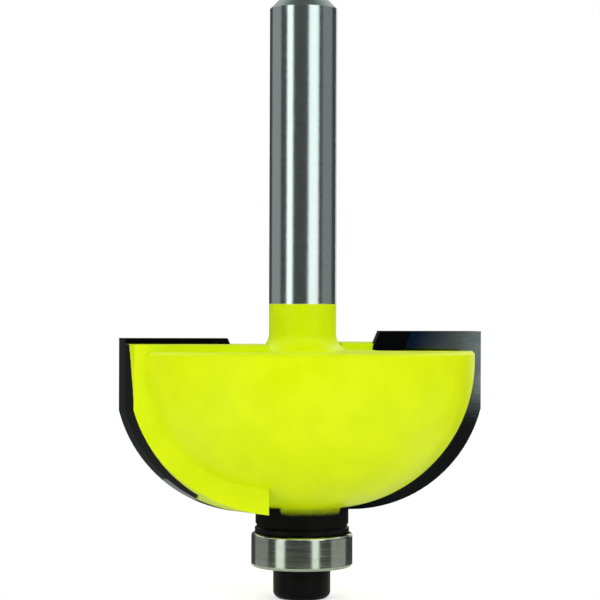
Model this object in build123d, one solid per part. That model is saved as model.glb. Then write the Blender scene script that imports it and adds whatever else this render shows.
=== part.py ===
from build123d import *
from math import atan2, degrees, radians, sqrt, tan
import os

# A cove router bit: two brazed carbide tips on a one-piece steel body with a
# round shank, and a ball bearing below the head that guides it along an edge.
# Millimetres. The tool axis is +Z with the shank up, the tips lie along X, and
# the origin is the centre of the screw's head face, on which the bit stands.
# Seen from the shank the bit turns clockwise, so the +X tip travels towards -Y.

# Guide bearing, 3/16 x 3/8 x 1/8 inch, shielded, with eight balls.
bearing_od = 9.525
bearing_bore = 4.7625
bearing_width = 3.175
bearing_corner = 0.3
corner_share_of_rim = 0.8
ball_d = 1.5875
ball_count = 8
raceway_radius = 0.83
raceway_depth = 0.4
race_play = 0.02
shield_lap = 0.24
shield_seat_depth = 0.42
shield_thickness = 0.2
shield_gap = 0.12
wire_d = 0.18
wire_bite = 0.06
wire_opening_deg = 35
cage_side_gap = 0.11
cage_top_gap = 0.12
cage_finger_drop = 0.4
cage_pocket_play = 0.05
cage_slot_width = 0.35
cage_slot_top = 0.35

# Cap screw, M3, with its hexagon socket.
screw_d = 3.0
screw_length = 8.0
screw_head_d = 5.4
screw_head_height = 3.0
screw_head_round = 0.72
screw_point_chamfer = 0.4
socket_across_flats = 2.5
socket_depth = 1.4
socket_point_deg = 120

# Dust washer between the bearing and the head.
washer_d = 8.87
washer_thickness = 0.53
washer_edge = 0.15
washer_boss_wall = 0.57
washer_boss_height = 0.1
seat_play = 0.005

# Hub, spigot and tapped hole at the foot of the head.
hub_d = 8.75
hub_height = 1.38
hub_groove_depth = 0.12
hub_groove_height = 0.25
spigot_recess = 0.2
spigot_chamfer = 0.3
tap_overrun = 1.5
drill_point_deg = 118

# Cutting profile of the tips.
cove_radius = 12.7
cove_start_offset = 0.15
margin_inset = 0.4
tip_margins = (4.2, 3.55)
tip_thickness = 2.0
tip_inner_r = 6.75
tip_corner_deg = 22.5
tip_foot_gap = 0.04
face_offset = 1.0
relief_deg = 15.5
foot_relief_deg = 3.5

# Steel head: its lobes, the lands that back the tips and the gullets.
head_rise = 2.425
lobe_radius = 13.73
lobe_side_inset = 1.05
lobe_foot_rise = 0.38
lobe_edge = 0.25
land_rise = 0.6
land_top_length = 9.3
land_foot_length = 8.6
land_inner_r = 3.9
land_end_deg = 20
gullet_width = 3.8
gullet_floor_round = 1.4

# Shank, with the fillet by which it grows out of the head.
shank_d = 6.35
shank_length = 32.95
neck_fillet = 1.5
shank_chamfer = 0.9

# Heights that follow from the stack above the screw's head face.
bearing_foot = screw_head_height
bearing_mid = bearing_foot + bearing_width / 2
bearing_top = bearing_foot + bearing_width
washer_foot = bearing_top + washer_boss_height
hub_foot = washer_foot + washer_thickness
cove_foot = hub_foot + hub_height
cove_z = cove_foot + cove_radius
cove_r = bearing_od / 2 + cove_start_offset
head_top = cove_z + head_rise
land_top = head_top + land_rise
shank_top = head_top + shank_length
spigot_foot = bearing_foot + spigot_recess

# Radii that follow: the tips' face stands margin_x out from the axis.
spigot_r = bearing_bore / 2 - seat_play
margin_x = cove_r + cove_radius - margin_inset
lobe_r = margin_x - lobe_side_inset
tip_foot_x = hub_d / 2 + tip_foot_gap
floor_lean_deg = degrees(atan2(tip_inner_r - tip_foot_x, head_top - cove_foot))
reach = 2 * margin_x + shank_top

# Radii of the bearing's inside, from the ball circle outwards and inwards.
ball_circle_r = (bearing_od + bearing_bore) / 4
inner_track_r = ball_circle_r - ball_d / 2 - race_play
outer_track_r = ball_circle_r + ball_d / 2 + race_play
inner_land_r = inner_track_r + raceway_depth
outer_land_r = outer_track_r - raceway_depth
shield_seat_r = outer_land_r + shield_lap
rim_wall = bearing_od / 2 - shield_seat_r
rim_corner = min(bearing_corner, corner_share_of_rim * rim_wall)
wire_r = shield_seat_r + wire_bite - wire_d / 2
shield_foot = bearing_width / 2 - shield_seat_depth
wire_z = shield_foot + shield_thickness + wire_d / 2


def turned(*curves):
    """Solid of revolution about Z of closed outline curves drawn in (r, z)."""
    with BuildSketch(Plane.XZ) as section:
        with BuildLine():
            for curve in curves:
                add(curve)
        make_face()
    return revolve(section.sketch, axis=Axis.Z)


def ring(inner_r, outer_r, foot, top):
    """Plain ring between two radii and two heights."""
    disc = Cylinder(outer_r, top - foot) - Cylinder(inner_r, top - foot)
    return Pos(0, 0, (foot + top) / 2) * disc


def circular_edges(solid, radius, height):
    """The edges of a turned piece that are circles of one radius at one height."""
    rings = solid.edges().filter_by(GeomType.CIRCLE)
    return [
        e for e in rings
        if abs(e.radius - radius) < 1e-4 and abs(e.arc_center.Z - height) < 1e-4
    ]


def turned_blank():
    """Shank, round head, hub and spigot as they come off the lathe."""
    lobe_c = (lobe_r - lobe_radius, cove_foot + lobe_foot_rise + lobe_radius)
    hub_r = hub_d / 2
    hub_meet = lobe_c[1] - sqrt(lobe_radius**2 - (hub_r - lobe_c[0]) ** 2)
    groove_r = hub_r - hub_groove_depth
    groove_top = hub_foot + hub_groove_height
    fillet_r = shank_d / 2 + neck_fillet
    fillet_z = head_top + neck_fillet
    foot_side = Polyline(
        (0, spigot_foot),
        (spigot_r - spigot_chamfer, spigot_foot),
        (spigot_r, spigot_foot + spigot_chamfer),
        (spigot_r, hub_foot),
        (groove_r, hub_foot),
        (groove_r, groove_top),
        (hub_r, groove_top),
        (hub_r, hub_meet),
    )
    bowl = RadiusArc((hub_r, hub_meet), (lobe_r, lobe_c[1]), -lobe_radius)
    rim = Polyline(
        (lobe_r, lobe_c[1]),
        (lobe_r, head_top - lobe_edge),
        (lobe_r - lobe_edge, head_top),
        (fillet_r, head_top),
    )
    shoulder = RadiusArc((fillet_r, head_top), (shank_d / 2, fillet_z), neck_fillet)
    shank_side = Polyline(
        (shank_d / 2, fillet_z),
        (shank_d / 2, shank_top - shank_chamfer),
        (shank_d / 2 - shank_chamfer, shank_top),
        (0, shank_top),
        (0, spigot_foot),
    )
    return turned(foot_side, bowl, rim, shoulder, shank_side)


def cove_face():
    """The cutting profile in the +X tip's face, closed at the axis and far above."""
    kink_z = cove_z - sqrt(cove_radius**2 - (margin_x - cove_r) ** 2)
    with BuildSketch(Plane.XZ.offset(-face_offset)) as profile:
        with BuildLine():
            RadiusArc((cove_r, cove_foot), (margin_x, kink_z), -cove_radius)
            Polyline(
                (margin_x, kink_z),
                (margin_x, reach),
                (0, reach),
                (0, cove_foot),
                (cove_r, cove_foot),
            )
        make_face()
    return profile.sketch


def relieved(length):
    """The cutting profile carried back behind the edge, falling away by the relief."""
    fall = Vector(-tan(radians(relief_deg)), 1, tan(radians(foot_relief_deg)))
    return extrude(cove_face(), amount=length * fall.length, dir=fall.normalized())


def outboard(near_y, far_y, top, floor_round=0):
    """All that lies outboard of the slot's leaning floor, between two depths."""
    box = Box(reach, far_y - near_y, 2 * reach, align=(Align.MIN, Align.MIN, Align.CENTER))
    if floor_round:
        corner = box.edges().filter_by(Axis.Z).group_by(Axis.X)[0].sort_by(Axis.Y)[0]
        box = fillet(corner, floor_round)
    leaning = Pos(tip_foot_x, near_y, cove_foot) * Rot(Y=floor_lean_deg) * box
    level = Pos(0, 0, cove_foot) * Box(
        2 * reach, 2 * reach, top - cove_foot, align=(Align.CENTER, Align.CENTER, Align.MIN)
    )
    return leaning & level


def milled_slot():
    """What one pass of the mill takes out: a tip's seat and the gullet ahead of it."""
    return outboard(
        face_offset - gullet_width, face_offset + tip_thickness, reach, gullet_floor_round
    )


def backing_land():
    """The steel left standing behind a tip, ground back along with it."""
    with BuildSketch(Plane.YZ.offset(land_inner_r)) as side:
        with BuildLine():
            Polyline(
                (face_offset, cove_foot),
                (face_offset + land_foot_length, cove_foot),
                (face_offset + land_top_length, land_top),
                (face_offset, land_top),
                close=True,
            )
        make_face()
    end_lean = Vector(1, -tan(radians(land_end_deg)), 0)
    block = extrude(side.sketch, amount=reach, dir=end_lean.normalized())
    return relieved(max(land_foot_length, land_top_length)) & block


def tapped_hole():
    """Hole for the cap screw, up the middle of the spigot, with its drill point."""
    hole_r = screw_d / 2 + seat_play
    foot = spigot_foot
    top = screw_head_height + screw_length + tap_overrun
    point = hole_r / tan(radians(drill_point_deg / 2))
    outline = Polyline((0, foot), (hole_r, foot), (hole_r, top), (0, top + point), (0, foot))
    return turned(outline)


def cutter_body():
    """Lathe blank with the lands added and both slots and the hole taken out."""
    body = turned_blank()
    for turn in (0, 180):
        body = body + Rot(Z=turn) * backing_land()
    for turn in (0, 180):
        body = body - Rot(Z=turn) * milled_slot()
    return body - tapped_hole()


def carbide_tip(margin):
    """One carbide tip on the +X side, standing the given margin above the cove."""
    seat = outboard(face_offset, face_offset + tip_thickness, cove_z + margin)
    corner = Pos(tip_inner_r, 0, head_top) * Rot(Y=tip_corner_deg) * Box(
        reach, reach, reach, align=(Align.MAX, Align.CENTER, Align.CENTER)
    )
    return relieved(tip_thickness) & seat - corner


def dust_washer():
    """Washer that covers the bearing, with a boss that bears on the inner ring only."""
    top = washer_foot + washer_thickness
    disc = ring(bearing_bore / 2, washer_d / 2, washer_foot, top)
    disc = chamfer(circular_edges(disc, washer_d / 2, top), washer_edge)
    boss_r = bearing_bore / 2 + washer_boss_wall
    return disc + ring(bearing_bore / 2, boss_r, bearing_top, washer_foot)


def cap_screw():
    """Socket cap screw, head down, its thread left plain."""
    head_r = screw_head_d / 2
    end = screw_head_height + screw_length
    outline = Polyline(
        (head_r, screw_head_round),
        (head_r, screw_head_height),
        (screw_d / 2, screw_head_height),
        (screw_d / 2, end - screw_point_chamfer),
        (screw_d / 2 - screw_point_chamfer, end),
        (0, end),
        (0, 0),
        (head_r - screw_head_round, 0),
    )
    rounding = RadiusArc(
        (head_r - screw_head_round, 0), (head_r, screw_head_round), -screw_head_round
    )
    hexagon = RegularPolygon(socket_across_flats / 2, 6, major_radius=False)
    point_height = socket_across_flats / 2 / tan(radians(socket_point_deg / 2))
    point = Pos(0, 0, socket_depth + point_height / 2) * Cone(
        socket_across_flats / 2, 0, point_height
    )
    return turned(outline, rounding) - extrude(hexagon, amount=socket_depth) - point


def at_bearing_mid(solid):
    """A piece drawn about the bearing's centre, moved to its place."""
    return Pos(0, 0, bearing_mid) * solid


def inner_ring():
    """Inner ring with its ball track and broken corners."""
    half = bearing_width / 2
    body = ring(bearing_bore / 2, inner_land_r, -half, half)
    body = body - Torus(inner_track_r + raceway_radius, raceway_radius)
    corners = circular_edges(body, bearing_bore / 2, -half)
    corners += circular_edges(body, bearing_bore / 2, half)
    return at_bearing_mid(chamfer(corners, bearing_corner / 2))


def outer_ring():
    """Outer ring with its ball track and, at each end, a shield seat and wire groove."""
    half = bearing_width / 2
    body = ring(outer_land_r, bearing_od / 2, -half, half)
    body = body - Torus(outer_track_r - raceway_radius, raceway_radius)
    seat = Pos(0, 0, shield_foot + half / 2) * Cylinder(shield_seat_r, half)
    groove = Pos(0, 0, wire_z) * Torus(wire_r, wire_d / 2 + seat_play)
    for side in (0, 180):
        body = body - Rot(X=side) * seat - Rot(X=side) * groove
    corners = circular_edges(body, bearing_od / 2, -half)
    corners += circular_edges(body, bearing_od / 2, half)
    return at_bearing_mid(fillet(corners, rim_corner))


def shield(side):
    """Sheet shield seated in the outer ring, clear of the inner ring."""
    inner_r = inner_land_r + shield_gap
    outer_r = shield_seat_r - seat_play
    disc = ring(inner_r, outer_r, shield_foot, shield_foot + shield_thickness)
    return at_bearing_mid(Rot(X=side) * disc)


def snap_wire(side):
    """Open wire ring that holds a shield in its seat."""
    section = Plane.XZ * Pos(wire_r, wire_z) * Circle(wire_d / 2)
    wire = revolve(section, axis=Axis.Z, revolution_arc=360 - wire_opening_deg)
    return at_bearing_mid(Rot(X=side) * wire)


def crown_cage():
    """Crown cage: a back ring above the balls and fingers down between them."""
    inner_r = inner_land_r + cage_side_gap
    outer_r = outer_land_r - cage_side_gap
    body = ring(inner_r, outer_r, -cage_finger_drop, shield_foot - cage_top_gap)
    pocket = Sphere(ball_d / 2 + cage_pocket_play)
    slot_height = cage_finger_drop + cage_slot_top
    slot = Box(
        ball_d, cage_slot_width, slot_height, align=(Align.CENTER, Align.CENTER, Align.MAX)
    )
    for place in PolarLocations(ball_circle_r, ball_count):
        body = body - place * pocket
    for place in PolarLocations(ball_circle_r, ball_count, 180 / ball_count):
        body = body - place * Pos(0, 0, cage_slot_top) * slot
    return at_bearing_mid(body)


def balls():
    """The balls, evenly spaced on the ball circle."""
    places = PolarLocations(ball_circle_r, ball_count)
    return [at_bearing_mid(place * Sphere(ball_d / 2)) for place in places]


nodes = {
    "cutter_body": cutter_body(),
    "carbide_tip_a": carbide_tip(tip_margins[0]),
    "carbide_tip_b": Rot(Z=180) * carbide_tip(tip_margins[1]),
    "dust_washer": dust_washer(),
    "cap_screw": cap_screw(),
    "bearing_inner_ring": inner_ring(),
    "bearing_outer_ring": outer_ring(),
    "bearing_cage": crown_cage(),
    "bearing_shield_top": shield(0),
    "bearing_shield_bottom": shield(180),
    "snap_wire_top": snap_wire(0),
    "snap_wire_bottom": snap_wire(180),
}
for number, ball in enumerate(balls(), start=1):
    nodes[f"bearing_ball_{number}"] = ball

os.makedirs("parts", exist_ok=True)
for name, solid in nodes.items():
    export_step(solid, f"parts/{name}.step")
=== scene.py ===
import bpy
from math import cos, pi, radians, sin
from mathutils import Matrix, Vector

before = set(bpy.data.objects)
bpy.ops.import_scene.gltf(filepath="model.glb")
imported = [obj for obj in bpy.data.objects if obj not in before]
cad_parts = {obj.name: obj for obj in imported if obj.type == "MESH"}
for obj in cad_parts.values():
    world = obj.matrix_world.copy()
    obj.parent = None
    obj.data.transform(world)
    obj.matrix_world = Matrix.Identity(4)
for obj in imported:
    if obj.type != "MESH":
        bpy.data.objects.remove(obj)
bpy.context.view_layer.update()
bpy.ops.object.select_all(action="DESELECT")

# ---------------------------------------------------------------------------
# Cutter body: one piece of turned and milled steel. The shank is ground bright and
# the head and neck are sprayed yellow. Relief grinding has cut back through the
# paint behind each tip, and the hub at the foot is coloured black.

# Millimetres, with heights above the screw's face and radii from the tool axis.
# A pair is where a change of finish begins and where it is complete.
paint_line = 27.63
paint_line_wander = 0.12
paint_line_edge = (-0.03, 0.05)
hub_top = 8.1
hub_wander = 0.3
hub_edge = (0.35, -0.05)
hub_radius = (5.6, 5.0)
hub_shade_height = (1.0, 0.1)
hub_shade_radius = (7.0, 5.0)
corner_rise_start = (2.2, 2.6)
corner_rise_end = (4.0, 3.8)
far_corner_rise = (-3.1, -3.5)
corner_rise_height = 0.75
face_offset = 1.0
seat_depth = 1.9
strip_heights = (17.9, 23.9)
strip_widths = (4.95, 3.3)
strip_wander = 0.3
strip_edge = (-0.05, 0.08)
ground_from = 10.0
ground_from_wander = 0.8
ground_from_edge = (-0.1, 0.15)
chamfer_facing = (0.3, 0.5)
flat_facing = 0.6

# Roughness from the smoothest to the roughest spot, and the middle of the noise.
paint_roughness = (0.3, 0.42)
shank_roughness = (0.13, 0.2)
turned_roughness = 0.38
hub_black_roughness = 0.6
ground_roughness = 0.78
mid_noise = (0.3, 0.7)


def new_finish(name):
    """A material, its node tree and its shader."""
    finish = bpy.data.materials.new(name)
    finish.use_nodes = True
    tree = finish.node_tree
    return finish, tree, tree.nodes["Principled BSDF"]


def put(tree, kind, sockets=(), **settings):
    """A node with its settings and its sockets, set or linked by name or number."""
    node = tree.nodes.new(kind)
    for key, value in settings.items():
        setattr(node, key, value)
    for key, value in dict(sockets).items():
        if isinstance(value, bpy.types.NodeSocket):
            tree.links.new(value, node.inputs[key])
        else:
            node.inputs[key].default_value = value
    return node


def calc(tree, operation, a, b=0.0, c=0.0):
    """One sum on numbers."""
    return put(tree, "ShaderNodeMath", {0: a, 1: b, 2: c}, operation=operation).outputs[0]


def times(tree, product, *factors):
    """Several numbers multiplied."""
    for factor in factors:
        product = calc(tree, "MULTIPLY", product, factor)
    return product


def ramp(tree, value, low, high, out_low=0.0, out_high=1.0, soft=True):
    """value carried from low..high to out_low..out_high, held at both ends."""
    kind = "SMOOTHSTEP" if soft else "LINEAR"
    sockets = {"Value": value, "From Min": low, "From Max": high}
    sockets.update({"To Min": out_low, "To Max": out_high})
    node = put(tree, "ShaderNodeMapRange", sockets, interpolation_type=kind)
    return node.outputs["Result"]


def blend(tree, factor, first, second):
    """First colour where factor is 0, second where it is 1."""
    sockets = {0: factor, 6: first, 7: second}
    return put(tree, "ShaderNodeMix", sockets, data_type="RGBA").outputs[2]


def shift(tree, factor, first, second):
    """First number where factor is 0, second where it is 1."""
    sockets = {0: factor, 2: first, 3: second}
    return put(tree, "ShaderNodeMix", sockets, data_type="FLOAT").outputs[0]


def in_millimetres(tree):
    """The piece's own coordinates in millimetres."""
    where = put(tree, "ShaderNodeTexCoord").outputs["Object"]
    sockets = {0: where, "Scale": 1000.0}
    return put(tree, "ShaderNodeVectorMath", sockets, operation="SCALE").outputs[0]


def axes(tree, vector):
    """The x, y and z of a vector."""
    return tuple(put(tree, "ShaderNodeSeparateXYZ", {0: vector}).outputs)


def facing(tree):
    """The x, y and z of the direction in which the surface faces."""
    return axes(tree, put(tree, "ShaderNodeTexCoord").outputs["Normal"])


def from_axis(tree, x, y):
    """The distance from the tool axis."""
    square = calc(tree, "ADD", times(tree, x, x), times(tree, y, y))
    return calc(tree, "SQRT", square)


def round_axis(tree, x, y, z, along, around=1.0):
    """Coordinates that run round the axis, so that noise on them gives turned lines."""
    sockets = {
        0: times(tree, from_axis(tree, x, y), along),
        1: times(tree, z, along),
        2: times(tree, calc(tree, "ARCTAN2", y, x), around),
    }
    return put(tree, "ShaderNodeCombineXYZ", sockets).outputs[0]


def stretched(tree, x, y, z, scales):
    """Coordinates scaled along each axis, so that noise on them gives straight lines."""
    sockets = {i: times(tree, axis, scales[i]) for i, axis in enumerate((x, y, z))}
    return put(tree, "ShaderNodeCombineXYZ", sockets).outputs[0]


def noise(tree, where, scale, detail=3.0, roughness=0.5):
    """Cloudy noise, about 0 to 1."""
    sockets = {"Vector": where, "Scale": scale, "Detail": detail, "Roughness": roughness}
    return put(tree, "ShaderNodeTexNoise", sockets).outputs["Fac"]


def wandering(tree, edge, ragged, wander):
    """An edge that strays to both sides by half of wander."""
    return calc(tree, "MULTIPLY_ADD", ragged, wander, calc(tree, "SUBTRACT", edge, wander / 2))


def bump(tree, height, strength, distance_mm):
    """Surface relief from a height of 0 to 1."""
    sockets = {"Height": height, "Strength": strength, "Distance": distance_mm / 1000}
    return put(tree, "ShaderNodeBump", sockets).outputs[0]


def srgb(red, green, blue):
    """A colour written as it looks, 0 to 255, as the shader needs it."""
    def linear(value):
        value = value / 255
        return value / 12.92 if value <= 0.04045 else ((value + 0.055) / 1.055) ** 2.4
    return (linear(red), linear(green), linear(blue), 1.0)


def link(tree, source, shader, socket):
    """One property of the shader taken from a node."""
    tree.links.new(source, shader.inputs[socket])


def wear(piece, finish):
    """Gives a CAD node its finish."""
    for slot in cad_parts[piece].material_slots:
        slot.material = finish


body_finish, tree, shader = new_finish("cutter_body_finish")
mm = in_millimetres(tree)
x, y, z = axes(tree, mm)
_, facing_y, facing_z = facing(tree)
radius = from_axis(tree, x, y)
cloud = noise(tree, mm, scale=0.35)
speck = noise(tree, mm, scale=9.0, detail=4, roughness=0.6)
ragged = noise(tree, mm, scale=1.6, detail=4, roughness=0.6)
peel = noise(tree, mm, scale=2.2, detail=2)
shank_lines = noise(tree, round_axis(tree, x, y, z, 9.0, 9.0), 1.0, detail=4, roughness=0.7)
grind_lines = noise(tree, stretched(tree, x, y, z, (0.8, 0.3, 10.0)), 1.0, roughness=0.6)

# Above the paint line the shank is bare, and its chamfered end is only turned.
bare_from = wandering(tree, paint_line, ragged, paint_line_wander)
bare_shank = ramp(tree, calc(tree, "SUBTRACT", z, bare_from), *paint_line_edge)
turned_end = ramp(tree, facing_z, *chamfer_facing)

# Towards the black hub the paint darkens to olive as painted shade, where the head curves
# under.
# The black of the hub reaches higher at the corners beside the lands.
corner = times(tree, x, calc(tree, "SIGN", y))
black_corner_rise = times(tree, ramp(tree, corner, *corner_rise_start),
               ramp(tree, corner, *corner_rise_end))
black_corner_rise = calc(tree, "MAXIMUM", black_corner_rise, ramp(tree, corner, *far_corner_rise))
spray_foot = calc(tree, "MULTIPLY_ADD", black_corner_rise, corner_rise_height, hub_top)
spray_foot = wandering(tree, spray_foot, ragged, hub_wander)
above_hub = calc(tree, "SUBTRACT", z, spray_foot)
black_hub = times(tree, ramp(tree, radius, *hub_radius), ramp(tree, above_hub, *hub_edge))
painted_shade_at_hub = times(tree, ramp(tree, radius, *hub_shade_radius),
                   ramp(tree, above_hub, *hub_shade_height))

# The ground strip lies behind each tip's seat, and not on the land's top or end.
side = calc(tree, "SIGN", x)
behind_face = calc(tree, "MULTIPLY_ADD", y, side, -face_offset)
strip_width = ramp(tree, z, *strip_heights, *strip_widths, soft=False)
strip_width = wandering(tree, strip_width, ragged, strip_wander)
past_strip = ramp(tree, calc(tree, "SUBTRACT", behind_face, strip_width), *strip_edge)
strip_end = wandering(tree, ground_from, ragged, ground_from_wander)
outwards = calc(tree, "SUBTRACT", calc(tree, "ABSOLUTE", x), strip_end)
ground_strip = times(
    tree,
    calc(tree, "SUBTRACT", 1.0, past_strip),
    calc(tree, "GREATER_THAN", behind_face, seat_depth),
    ramp(tree, outwards, *ground_from_edge),
    calc(tree, "LESS_THAN", facing_z, flat_facing),
    calc(tree, "LESS_THAN", times(tree, facing_y, side), flat_facing),
)

paint = blend(tree, ramp(tree, cloud, 0.35, 0.65), srgb(221, 243, 6), srgb(226, 247, 10))
flecks = times(tree, ramp(tree, speck, 0.66, 0.74), 0.35)
paint = blend(tree, flecks, paint, srgb(190, 212, 20))
# Painted shade: olive darkening of the paint just above the hub.
paint = blend(tree, painted_shade_at_hub, paint, srgb(128, 138, 12))
bright_steel = blend(tree, shank_lines, srgb(185, 202, 198), srgb(208, 222, 218))
turned_steel = blend(tree, shank_lines, srgb(92, 108, 104), srgb(122, 138, 132))
steel = blend(tree, turned_end, bright_steel, turned_steel)
hub_black_colour = blend(tree, speck, srgb(3, 3, 4), srgb(11, 11, 13))
# The ground strip is coloured near black as a painted dark reflection: bare ground steel is
# bright and only looks black where it reflects the dark room.
ground_steel_painted_dark = blend(tree, grind_lines, srgb(2, 2, 3), srgb(11, 12, 15))
colour = blend(tree, bare_shank, paint, steel)
colour = blend(tree, black_hub, colour, hub_black_colour)
colour = blend(tree, ground_strip, colour, ground_steel_painted_dark)
link(tree, colour, shader, "Base Color")
link(tree, bare_shank, shader, "Metallic")
shader.inputs["Specular IOR Level"].default_value = 0.1

rough = shift(tree, turned_end, ramp(tree, shank_lines, *mid_noise, *shank_roughness),
              turned_roughness)
rough = shift(tree, bare_shank, ramp(tree, cloud, *mid_noise, *paint_roughness), rough)
rough = shift(tree, black_hub, rough, hub_black_roughness)
rough = shift(tree, ground_strip, rough, ground_roughness)
link(tree, rough, shader, "Roughness")
height = shift(tree, bare_shank, peel, times(tree, shank_lines, 0.35))
height = shift(tree, ground_strip, height, grind_lines)
link(tree, bump(tree, height, strength=0.35, distance_mm=0.05), shader, "Normal")
wear("cutter_body", body_finish)

# ---------------------------------------------------------------------------
# Carbide tips: two pressed and sintered plates, silver-brazed into their seats,
# then ground to the profile on relief and face, which leaves fine straight lines.
# The inner end stays as pressed, and brazing has left a blue tint beside it, which also darkens
# the face there as a painted dark reflection. The pressed faces are coloured near black, partly
# their duller finish and partly painted shade.
inner_end_lean = -0.41
inner_end_wander = 0.5
unground_edge = (0.32, 0.12)
tint_and_reflection_reach = (6.0, 0.4)
back_facing = (0.5, 0.8)
top_facing = (0.6, 0.9)
polish = (0.03, 0.06)
pressed_roughness = 0.5

tip_finish, tree, shader = new_finish("ground_carbide")
mm = in_millimetres(tree)
x, y, z = axes(tree, mm)
_, facing_y, facing_z = facing(tree)
lines = noise(tree, stretched(tree, x, y, z, (0.5, 1.0, 14.0)), 1.0, roughness=0.6)
cloud = noise(tree, mm, scale=0.5)
from_inner_end = calc(tree, "MULTIPLY_ADD", z, inner_end_lean, calc(tree, "ABSOLUTE", x))
from_inner_end = wandering(tree, from_inner_end, cloud, inner_end_wander)
pressed_back = ramp(tree, times(tree, facing_y, calc(tree, "SIGN", x)), *back_facing)
as_pressed = calc(tree, "MAXIMUM", pressed_back, ramp(tree, facing_z, *top_facing))
as_pressed = calc(tree, "MAXIMUM", as_pressed, ramp(tree, from_inner_end, *unground_edge))
patches = times(tree, ramp(tree, cloud, 0.45, 0.75), 0.3)
# The blue tint is partly brazing tint and partly a painted dark reflection, darkening the face
# towards its inner end.
tint_and_dark_reflection = calc(tree, "MAXIMUM", ramp(tree, from_inner_end, *tint_and_reflection_reach), patches)
colour = blend(tree, lines, srgb(78, 87, 86), srgb(99, 108, 104))
colour = blend(tree, tint_and_dark_reflection, colour, srgb(16, 32, 55))
# The pressed faces are coloured near black: partly their duller finish, partly painted shade.
pressed_colour_and_shade = blend(tree, cloud, srgb(6, 6, 8), srgb(17, 18, 21))
link(tree, blend(tree, as_pressed, colour, pressed_colour_and_shade), shader, "Base Color")
shader.inputs["Metallic"].default_value = 1.0
rough = shift(tree, as_pressed, ramp(tree, lines, *mid_noise, *polish), pressed_roughness)
link(tree, rough, shader, "Roughness")
link(tree, bump(tree, lines, strength=0.1, distance_mm=0.01), shader, "Normal")
for tip in ("carbide_tip_a", "carbide_tip_b"):
    wear(tip, tip_finish)

# ---------------------------------------------------------------------------
# Dust washer: turned from steel and blackened in a hot oxide bath, it keeps dust
# off the bearing and presses on its inner ring only. Handling has rubbed it a little.
black_finish, tree, shader = new_finish("black_oxide")
mm = in_millimetres(tree)
x, y, z = axes(tree, mm)
turned_lines = noise(tree, round_axis(tree, x, y, z, 6.0), 1.0, roughness=0.6)
cloud = noise(tree, mm, scale=1.2, detail=4, roughness=0.6)
rub = noise(tree, mm, scale=5.0, detail=4, roughness=0.7)
rubbed = times(tree, ramp(tree, rub, 0.6, 0.75), 0.5)
colour = blend(tree, cloud, srgb(4, 4, 6), srgb(12, 12, 15))
link(tree, blend(tree, rubbed, colour, srgb(30, 31, 35)), shader, "Base Color")
shader.inputs["Specular IOR Level"].default_value = 0.1
oxide_roughness = (0.32, 0.48)
link(tree, ramp(tree, cloud, *mid_noise, *oxide_roughness), shader, "Roughness")
link(tree, bump(tree, turned_lines, strength=0.3, distance_mm=0.02), shader, "Normal")
wear("dust_washer", black_finish)

# ---------------------------------------------------------------------------
# Bearing rings: through-hardened steel, ground and superfinished, so faint
# lines run round the outside and round the faces.
ring_finish, tree, shader = new_finish("ground_bearing_steel")
mm = in_millimetres(tree)
x, y, z = axes(tree, mm)
fine = noise(tree, round_axis(tree, x, y, z, 11.0), 1.0, detail=4, roughness=0.7)
cloud = noise(tree, mm, scale=0.8)
oil_film = times(tree, ramp(tree, cloud, 0.5, 0.75), 0.25)
colour = blend(tree, fine, srgb(164, 174, 160), srgb(192, 202, 188))
link(tree, blend(tree, oil_film, colour, srgb(150, 150, 142)), shader, "Base Color")
shader.inputs["Metallic"].default_value = 1.0
ring_roughness = (0.12, 0.2)
link(tree, ramp(tree, fine, *mid_noise, *ring_roughness), shader, "Roughness")
link(tree, bump(tree, fine, strength=0.25, distance_mm=0.01), shader, "Normal")
for ring in ("bearing_inner_ring", "bearing_outer_ring"):
    wear(ring, ring_finish)

# ---------------------------------------------------------------------------
# Balls: eight lapped steel balls that run in the grooves of the two rings.
# Lapping leaves them close to a mirror, with only a faint haze.
ball_count = 8
ball_finish, tree, shader = new_finish("lapped_ball_steel")
haze = noise(tree, in_millimetres(tree), scale=6.0)
colour = blend(tree, haze, srgb(206, 208, 206), srgb(222, 224, 222))
link(tree, colour, shader, "Base Color")
shader.inputs["Metallic"].default_value = 1.0
ball_roughness = (0.06, 0.12)
link(tree, ramp(tree, haze, *mid_noise, *ball_roughness), shader, "Roughness")
for number in range(1, ball_count + 1):
    wear(f"bearing_ball_{number}", ball_finish)

# ---------------------------------------------------------------------------
# Cage: a crown pressed from steel strip and lightly oiled. It snaps over the eight
# balls, keeps them apart and goes round with them.
cage_finish, tree, shader = new_finish("pressed_cage_steel")
cloud = noise(tree, in_millimetres(tree), scale=3.0, detail=4, roughness=0.6)
colour = blend(tree, cloud, srgb(140, 136, 124), srgb(182, 178, 166))
link(tree, colour, shader, "Base Color")
shader.inputs["Metallic"].default_value = 1.0
cage_roughness = (0.28, 0.42)
link(tree, ramp(tree, cloud, *mid_noise, *cage_roughness), shader, "Roughness")
link(tree, bump(tree, cloud, strength=0.2, distance_mm=0.02), shader, "Normal")
wear("bearing_cage", cage_finish)

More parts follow.
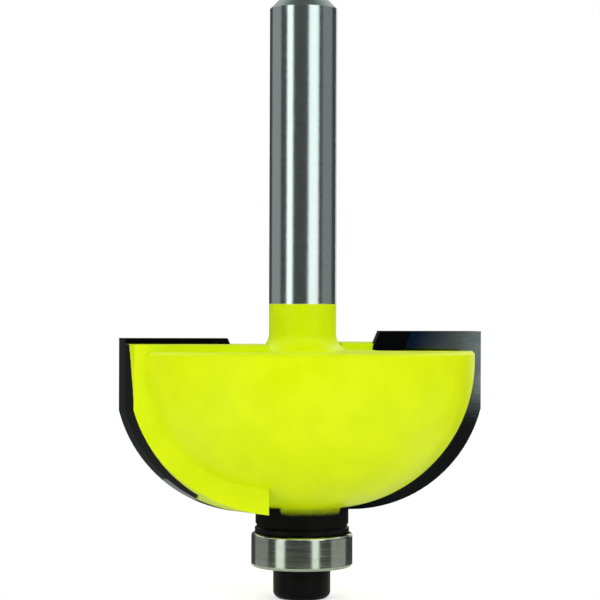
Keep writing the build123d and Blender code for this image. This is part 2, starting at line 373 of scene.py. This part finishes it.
# ---------------------------------------------------------------------------
# Bearing shields and snap wires: shields punched from bright sheet with its
# rolled grain, and wires of drawn spring steel sprung into the ring.
shield_finish, tree, shader = new_finish("rolled_sheet_steel")
x, y, z = axes(tree, in_millimetres(tree))
grain = noise(tree, stretched(tree, x, y, z, (1.2, 22.0, 1.0)), 1.0, roughness=0.6)
colour = blend(tree, grain, srgb(150, 152, 150), srgb(186, 188, 186))
link(tree, colour, shader, "Base Color")
shader.inputs["Metallic"].default_value = 1.0
sheet_roughness = (0.26, 0.4)
link(tree, ramp(tree, grain, *mid_noise, *sheet_roughness), shader, "Roughness")
link(tree, bump(tree, grain, strength=0.3, distance_mm=0.01), shader, "Normal")
for end in ("top", "bottom"):
    wear(f"bearing_shield_{end}", shield_finish)
    wear(f"snap_wire_{end}", shield_finish)

# ---------------------------------------------------------------------------
# Cap screw: cold headed steel with a hexagon socket, blackened like the washer. It
# goes in from below and holds the bearing's inner ring and the washer on the hub.
wear("cap_screw", black_finish)

# ---------------------------------------------------------------------------
# Studio: a small pale table in a white room that metal sees as dark at eye level,
# soft lights round the tool, two small cards that the ground tips show, and a
# level camera at the height of the neck.
table_radius = 0.0225
table_tone = 0.86
table_glow_to_camera = 0.4
table_glow_in_metal = 0.05
room_in_metal = 0.07


def rays(tree):
    """1 on camera rays, and 1 on camera, glossy or transmission rays."""
    path = put(tree, "ShaderNodeLightPath").outputs
    in_metal = calc(tree, "MAXIMUM", path["Is Glossy Ray"], path["Is Transmission Ray"])
    return path["Is Camera Ray"], calc(tree, "MAXIMUM", path["Is Camera Ray"], in_metal)


bpy.ops.mesh.primitive_circle_add(
    vertices=96, radius=table_radius, fill_type="NGON", location=(0, 0, 0))
table = bpy.context.object
table.name = "studio_table"
table_finish, tree, shader = new_finish("pale_table")
tree.nodes.remove(shader)
to_camera, seen = rays(tree)
glow_level = calc(tree, "MULTIPLY_ADD", to_camera, table_glow_to_camera,
                  times(tree, seen, table_glow_in_metal))
pale = put(tree, "ShaderNodeBsdfDiffuse", {"Color": (table_tone, table_tone, table_tone, 1)})
glow = put(tree, "ShaderNodeEmission", {"Color": (1, 1, 1, 1), "Strength": glow_level})
both = put(tree, "ShaderNodeAddShader", {0: pale.outputs[0], 1: glow.outputs[0]})
tree.links.new(both.outputs[0], tree.nodes["Material Output"].inputs["Surface"])
table.data.materials.append(table_finish)

# The room: a bright ring above, a bright lower half and a dark band between them,
# each placed by how steeply a ray rises. The band reaches lower on the far side.
band_foot_near, band_foot_far = -0.15, -0.34
lower_half_reach, lower_half_level = -0.24, 1.1
ring_rise, ring_level = (0.24, 0.55), 1.5
crown_rise, crown_share = (0.74, 0.92), 0.15
world = bpy.data.worlds.new("studio")
bpy.context.scene.world = world
world.use_nodes = True
tree = world.node_tree
background = tree.nodes["Background"]
_, away, rise = axes(tree, put(tree, "ShaderNodeTexCoord").outputs["Generated"])
band_foot = ramp(tree, away, 0.0, 0.5, band_foot_near, band_foot_far, soft=False)
under_band = calc(tree, "SUBTRACT", rise, band_foot)
lower_half = ramp(tree, under_band, 0.0, lower_half_reach, 0.0, lower_half_level)
ring_light = ramp(tree, rise, *ring_rise, 0.0, ring_level)
dim_crown = ramp(tree, rise, *crown_rise, 1.0, crown_share)
room = calc(tree, "ADD", times(tree, ring_light, dim_crown), lower_half)
to_camera, seen = rays(tree)
room = calc(tree, "MULTIPLY_ADD", seen, room_in_metal, room)
background.inputs["Color"].default_value = (1, 1, 1, 1)
tree.links.new(shift(tree, to_camera, room, 1.0), background.inputs["Strength"])


def soft_light(name, azimuth, distance, height, width, tall, radiance, aim_height):
    """A soft panel light at an azimuth from -Y, turned to a point on the tool axis."""
    lamp = bpy.data.lights.new(name, "AREA")
    lamp.shape = "RECTANGLE"
    lamp.size, lamp.size_y = width, tall
    lamp.energy = radiance * pi * width * tall
    panel = bpy.data.objects.new(name, lamp)
    bpy.context.collection.objects.link(panel)
    turn = radians(azimuth)
    spot = Vector((sin(turn) * distance, -cos(turn) * distance, height))
    aim = (Vector((0, 0, aim_height)) - spot).to_track_quat("-Z", "Y")
    panel.matrix_world = Matrix.Translation(spot) @ aim.to_matrix().to_4x4()
    panel.visible_camera = False


# Each light's name, its degrees round from the camera, distance, height, width,
# height of the panel, radiance, and the height that it is aimed at, in metres.
camera_azimuth = -5.6
for name, round_from_camera, *panel_values in (
    ("left_light", -46, 0.35, 0.13, 0.13, 0.26, 1.6, 0.13),
    ("left_low_light", -50, 0.35, -0.12, 0.13, 0.24, 1.4, -0.12),
    ("right_light", 36, 0.35, 0.13, 0.219, 0.26, 1.4, 0.13),
    ("right_low_light", 31, 0.35, -0.12, 0.1, 0.24, 1.4, -0.12),
    ("left_fill", -107, 0.4, 0.06, 0.37, 0.36, 0.28, 0.06),
    ("right_fill", 92, 0.4, 0.1, 0.34, 0.22, 0.2, 0.1),
    ("right_low_fill", 94, 0.4, -0.08, 0.36, 0.14, 0.36, -0.08),
    ("back_light", 158, 0.35, 0.1, 0.11, 0.22, 1.0, 0.1),
    ("tip_card", 17, 0.35, 0.015, 0.04, 0.026, 0.53, 0.02),
    ("low_card", -166, 0.35, -0.108, 0.07, 0.03, 0.32, 0.012),
):
    soft_light(name, camera_azimuth + round_from_camera, *panel_values)

lens_distance = 0.188
lens_height = 0.02801
camera_roll = 0.2
view_data = bpy.data.cameras.new("camera")
view_data.sensor_width = 36.0
view_data.lens = 119.8
view_data.shift_x = -0.0045
view_data.clip_start = 0.01
camera = bpy.data.objects.new("camera", view_data)
bpy.context.collection.objects.link(camera)
turn = radians(camera_azimuth)
stand = Matrix.Translation((sin(turn) * lens_distance, -cos(turn) * lens_distance, lens_height))
level = Matrix.Rotation(turn, 4, "Z") @ Matrix.Rotation(pi / 2, 4, "X")
camera.matrix_world = stand @ level @ Matrix.Rotation(radians(camera_roll), 4, "Z")
bpy.context.scene.camera = camera
bpy.context.scene.view_settings.view_transform = "Standard"
